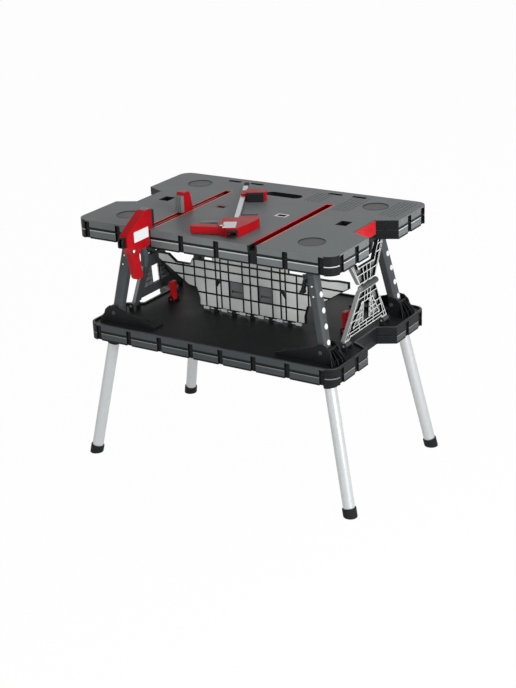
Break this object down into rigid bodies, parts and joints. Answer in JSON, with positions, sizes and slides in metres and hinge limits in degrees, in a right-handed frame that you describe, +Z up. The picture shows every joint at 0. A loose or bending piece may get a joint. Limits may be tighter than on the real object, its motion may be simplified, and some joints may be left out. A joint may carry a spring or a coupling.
{
  "type": "folding workbench",
  "caption": "Folding workbench with a ribbed plastic worktop over a shelf tray, hourglass folding end panels, leaning struts, folding aluminium legs and red bar clamps.",
  "frame": {"origin": "centre of the bounding box's footprint, on the floor", "axes": "+X along the bench to the right of a user at the front, +Y towards the rear, +Z up; the mounted clamp overhangs the front, towards -Y"},
  "size_m": [0.9312, 0.6687, 0.8154],
  "materials": {
    "worktop_plastic": "fine moulded grain",
    "tray_plastic": "fine moulded grain",
    "panel_plastic": "satin moulded plastic",
    "red_plastic": "satin red plastic",
    "black_plastic": "satin black plastic",
    "leg_aluminium": "drawn and anodised",
    "pin_steel": "bright zinc plated",
    "pad_rubber": "ridged rubber",
    "trigger_plastic": "satin grey plastic"
  },
  "bodies": {
    "tray": {"tray_deck": "tray_plastic", "tray_frame": "tray_plastic", "long_panel_pin": "pin_steel", "strut_shoe_front_left": "black_plastic", "strut_shoe_front_right": "black_plastic", "strut_shoe_rear_left": "black_plastic", "strut_shoe_rear_right": "black_plastic"},
    "worktop": {"worktop_deck": "worktop_plastic", "worktop_frame": "worktop_plastic", "clamp_rail_left": "red_plastic", "clamp_rail_right": "red_plastic", "end_grip_left": "red_plastic", "end_grip_right": "red_plastic", "bench_socket_left": "red_plastic", "bench_socket_right": "red_plastic"},
    "end_panel_left_lower": {"end_panel_left_lower": "panel_plastic", "knee_pin_left": "pin_steel"},
    "end_panel_left_upper": {"end_panel_left_upper": "panel_plastic"},
    "end_panel_right_lower": {"end_panel_right_lower": "panel_plastic", "knee_pin_right": "pin_steel"},
    "end_panel_right_upper": {"end_panel_right_upper": "panel_plastic"},
    "long_panel": {"long_panel": "panel_plastic"},
    "strut_front_left": {"strut_front_left": "black_plastic"},
    "strut_latch_front_left": {"strut_latch_front_left": "black_plastic"},
    "leg_front_left": {"leg_hinge_front_left": "black_plastic", "leg_tube_front_left": "leg_aluminium", "leg_foot_front_left": "black_plastic"},
    "strut_front_right": {"strut_front_right": "black_plastic"},
    "strut_latch_front_right": {"strut_latch_front_right": "black_plastic"},
    "leg_front_right": {"leg_hinge_front_right": "black_plastic", "leg_tube_front_right": "leg_aluminium", "leg_foot_front_right": "black_plastic"},
    "strut_rear_left": {"strut_rear_left": "black_plastic"},
    "strut_latch_rear_left": {"strut_latch_rear_left": "black_plastic"},
    "leg_rear_left": {"leg_hinge_rear_left": "black_plastic", "leg_tube_rear_left": "leg_aluminium", "leg_foot_rear_left": "black_plastic"},
    "strut_rear_right": {"strut_rear_right": "black_plastic"},
    "strut_latch_rear_right": {"strut_latch_rear_right": "black_plastic"},
    "leg_rear_right": {"leg_hinge_rear_right": "black_plastic", "leg_tube_rear_right": "leg_aluminium", "leg_foot_rear_right": "black_plastic"},
    "closing_latch_left": {"closing_latch_left": "red_plastic"},
    "closing_latch_right": {"closing_latch_right": "red_plastic"},
    "mounted_clamp": {"mounted_clamp_body": "red_plastic", "mounted_clamp_body_pad": "pad_rubber"},
    "mounted_clamp_bar": {"mounted_clamp_bar": "pin_steel", "mounted_clamp_jaw": "red_plastic", "mounted_clamp_jaw_pad": "pad_rubber"},
    "mounted_clamp_trigger": {"mounted_clamp_trigger": "trigger_plastic"},
    "mounted_clamp_release": {"mounted_clamp_release": "black_plastic"},
    "loose_clamp": {"loose_clamp_body": "red_plastic", "loose_clamp_body_pad": "pad_rubber"},
    "loose_clamp_bar": {"loose_clamp_bar": "pin_steel", "loose_clamp_jaw": "red_plastic", "loose_clamp_jaw_pad": "pad_rubber"},
    "loose_clamp_trigger": {"loose_clamp_trigger": "trigger_plastic"},
    "loose_clamp_release": {"loose_clamp_release": "black_plastic"}
  },
  "joints": [
    {"name": "bench_fold", "type": "hinge", "parent": "tray", "child": "end_panel_left_lower", "pos_m": [-0.365, 0.05965, 0.447], "axis": [0, 1, 0], "range_deg": [0, 87.86]},
    {"name": "left_knee", "type": "hinge", "parent": "end_panel_left_lower", "child": "end_panel_left_upper", "pos_m": [-0.3737, 0.05965, 0.589], "axis": [0, 1, 0], "range_deg": [-175.72, 0]},
    {"name": "left_worktop_hinge", "type": "hinge", "parent": "end_panel_left_upper", "child": "worktop", "pos_m": [-0.365, 0.05965, 0.731], "axis": [0, 1, 0], "range_deg": [0, 87.86]},
    {"name": "right_fold", "type": "hinge", "parent": "tray", "child": "end_panel_right_lower", "pos_m": [0.365, 0.05965, 0.447], "axis": [0, 1, 0], "range_deg": [-87.86, 0]},
    {"name": "right_knee", "type": "hinge", "parent": "end_panel_right_lower", "child": "end_panel_right_upper", "pos_m": [0.3737, 0.05965, 0.589], "axis": [0, 1, 0], "range_deg": [0, 175.72]},
    {"name": "long_panel_fold", "type": "hinge", "parent": "tray", "child": "long_panel", "pos_m": [0, 0.03765, 0.44], "axis": [1, 0, 0], "range_deg": [0, 90]},
    {"name": "strut_fold_front_left", "type": "hinge", "parent": "tray", "child": "strut_front_left", "pos_m": [-0.35008, -0.14705, 0.463], "axis": [0, 1, 0], "range_deg": [0, 78.42]},
    {"name": "strut_latch_front_left", "type": "hinge", "parent": "strut_front_left", "child": "strut_latch_front_left", "pos_m": [-0.28707, -0.12706, 0.65835], "axis": [-0.0196, 0.9952, -0.0955], "range_deg": [0, 24]},
    {"name": "leg_fold_front_left", "type": "hinge", "parent": "tray", "child": "leg_front_left", "pos_m": [-0.36142, -0.15258, 0.4077], "axis": [-0.066, -0.9914, 0.1127], "range_deg": [0, 101.12]},
    {"name": "strut_fold_front_right", "type": "hinge", "parent": "tray", "child": "strut_front_right", "pos_m": [0.35008, -0.14705, 0.463], "axis": [0, 1, 0], "range_deg": [-78.42, 0]},
    {"name": "strut_latch_front_right", "type": "hinge", "parent": "strut_front_right", "child": "strut_latch_front_right", "pos_m": [0.28707, -0.12706, 0.65835], "axis": [0.0196, 0.9952, -0.0955], "range_deg": [-24, 0]},
    {"name": "leg_fold_front_right", "type": "hinge", "parent": "tray", "child": "leg_front_right", "pos_m": [0.36142, -0.15258, 0.4077], "axis": [0.053, 0.9947, -0.0886], "range_deg": [0, 101.82]},
    {"name": "strut_fold_rear_left", "type": "hinge", "parent": "tray", "child": "strut_rear_left", "pos_m": [-0.35008, 0.26635, 0.463], "axis": [0, 1, 0], "range_deg": [0, 78.42]},
    {"name": "strut_latch_rear_left", "type": "hinge", "parent": "strut_rear_left", "child": "strut_latch_rear_left", "pos_m": [-0.28707, 0.24636, 0.65835], "axis": [0.0196, 0.9952, 0.0955], "range_deg": [0, 24]},
    {"name": "leg_fold_rear_left", "type": "hinge", "parent": "tray", "child": "leg_rear_left", "pos_m": [-0.36142, 0.27188, 0.4077], "axis": [-0.053, -0.9947, -0.0886], "range_deg": [0, 101.82]},
    {"name": "strut_fold_rear_right", "type": "hinge", "parent": "tray", "child": "strut_rear_right", "pos_m": [0.35008, 0.26635, 0.463], "axis": [0, 1, 0], "range_deg": [-78.42, 0]},
    {"name": "strut_latch_rear_right", "type": "hinge", "parent": "strut_rear_right", "child": "strut_latch_rear_right", "pos_m": [0.28707, 0.24636, 0.65835], "axis": [-0.0196, 0.9952, 0.0955], "range_deg": [-24, 0]},
    {"name": "leg_fold_rear_right", "type": "hinge", "parent": "tray", "child": "leg_rear_right", "pos_m": [0.36142, 0.27188, 0.4077], "axis": [0.066, 0.9914, 0.1127], "range_deg": [0, 101.12]},
    {"name": "closing_latch_left", "type": "hinge", "parent": "tray", "child": "closing_latch_left", "pos_m": [-0.3, 0.05965, 0.441], "axis": [0, 1, 0], "range_deg": [0, 7], "stiffness_Nm_per_rad": 0.5},
    {"name": "closing_latch_right", "type": "hinge", "parent": "tray", "child": "closing_latch_right", "pos_m": [0.3, 0.05965, 0.441], "axis": [0, 1, 0], "range_deg": [-7, 0], "stiffness_Nm_per_rad": 0.5},
    {"name": "mounted_clamp_rail_slide", "type": "slide", "parent": "worktop", "child": "mounted_clamp", "axis": [0, -1, 0], "range_m": [0, 0.1]},
    {"name": "mounted_clamp_bar_slide", "type": "slide", "parent": "mounted_clamp", "child": "mounted_clamp_bar", "axis": [0, -1, 0], "range_m": [-0.02, 0.1]},
    {"name": "mounted_clamp_trigger_pull", "type": "hinge", "parent": "mounted_clamp", "child": "mounted_clamp_trigger", "pos_m": [-0.175, -0.23565, 0.7188], "axis": [-1, 0, 0], "range_deg": [0, 10], "stiffness_Nm_per_rad": 0.3},
    {"name": "mounted_clamp_release_press", "type": "hinge", "parent": "mounted_clamp", "child": "mounted_clamp_release", "pos_m": [-0.175, -0.31995, 0.7618], "axis": [-1, 0, 0], "range_deg": [0, 8], "stiffness_Nm_per_rad": 0.3},
    {"name": "loose_clamp_lift", "type": "slide", "parent": "worktop", "child": "loose_clamp", "axis": [0, 0, 1], "range_m": [0, 0.15]},
    {"name": "loose_clamp_bar_slide", "type": "slide", "parent": "loose_clamp", "child": "loose_clamp_bar", "axis": [0.4726, -0.8813, 0], "range_m": [-0.02, 0.1]},
    {"name": "loose_clamp_trigger_pull", "type": "hinge", "parent": "loose_clamp", "child": "loose_clamp_trigger", "pos_m": [0.02577, -0.11821, 0.7683], "axis": [0, 0, 1], "range_deg": [0, 10], "stiffness_Nm_per_rad": 0.3},
    {"name": "loose_clamp_release_press", "type": "hinge", "parent": "loose_clamp", "child": "loose_clamp_release", "pos_m": [0.10351, -0.17218, 0.7683], "axis": [0, 0, 1], "range_deg": [0, 8], "stiffness_Nm_per_rad": 0.3}
  ],
  "couplings": [
    {"joint": "left_knee", "follows": "bench_fold", "ratio": -2},
    {"joint": "left_worktop_hinge", "follows": "bench_fold", "ratio": 1},
    {"joint": "right_fold", "follows": "bench_fold", "ratio": -1},
    {"joint": "right_knee", "follows": "bench_fold", "ratio": 2},
    {"joint": "long_panel_fold", "follows": "bench_fold", "ratio": 1.0244},
    {"joint": "strut_fold_front_left", "follows": "bench_fold", "ratio": 0.89251},
    {"joint": "strut_latch_front_left", "follows": "bench_fold", "ratio": 0.27316},
    {"joint": "strut_fold_front_right", "follows": "bench_fold", "ratio": -0.89251},
    {"joint": "strut_latch_front_right", "follows": "bench_fold", "ratio": -0.27316},
    {"joint": "strut_fold_rear_left", "follows": "bench_fold", "ratio": 0.89251},
    {"joint": "strut_latch_rear_left", "follows": "bench_fold", "ratio": 0.27316},
    {"joint": "strut_fold_rear_right", "follows": "bench_fold", "ratio": -0.89251},
    {"joint": "strut_latch_rear_right", "follows": "bench_fold", "ratio": -0.27316}
  ]
}
